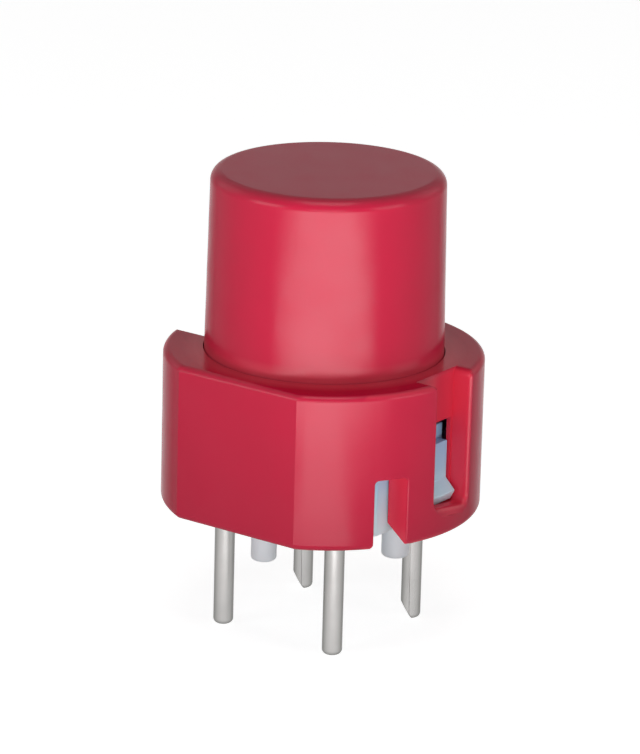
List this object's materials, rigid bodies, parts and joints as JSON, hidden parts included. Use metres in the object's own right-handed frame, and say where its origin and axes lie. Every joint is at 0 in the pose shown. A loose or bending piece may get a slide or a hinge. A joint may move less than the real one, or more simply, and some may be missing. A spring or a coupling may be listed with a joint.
{
  "type": "tactile push button switch",
  "caption": "Round moulded push button switch with a tapered sprung button, a flat-sided housing that snaps over a base, and round wire terminals for a circuit board.",
  "frame": {"origin": "middle of the four terminals, on the board surface that the feet stand on", "axes": "+Z along the button's axis, away from the board; -Y towards the flat side; +X towards the side with the narrow recess and the skirt notch"},
  "size_m": [0.012, 0.0114, 0.0177],
  "materials": {
    "red_plastic": "satin moulded, warm red",
    "blue_plastic": "satin moulded, pale blue",
    "natural_plastic": "smooth, off-white",
    "spring_steel": "bright drawn",
    "contact_metal": "plated, smooth",
    "tinned_wire": "satin, tinned"
  },
  "bodies": {
    "case": {"housing": "red_plastic", "base": "blue_plastic", "snap_disc": "spring_steel", "ring_contact": "contact_metal", "centre_contact": "contact_metal", "terminal_front_left": "tinned_wire", "terminal_front_right": "tinned_wire", "terminal_rear_left": "tinned_wire", "terminal_rear_right": "tinned_wire"},
    "button": {"button": "red_plastic"},
    "plunger": {"plunger": "natural_plastic", "drive_spring": "spring_steel"}
  },
  "joints": [
    {"name": "press", "type": "slide", "parent": "case", "child": "button", "axis": [0, 0, -1], "range_m": [0, 0.0009], "stiffness_N_per_m": 1500, "springref_m": -0.0004, "deforming": ["drive_spring", "snap_disc"]},
    {"name": "snap", "type": "slide", "parent": "case", "child": "plunger", "axis": [0, 0, -1], "range_m": [0, 0.0003], "deforming": ["drive_spring", "snap_disc"]}
  ],
  "couplings": [
    {"joint": "snap", "follows": "press", "ratio": 0.3333}
  ]
}
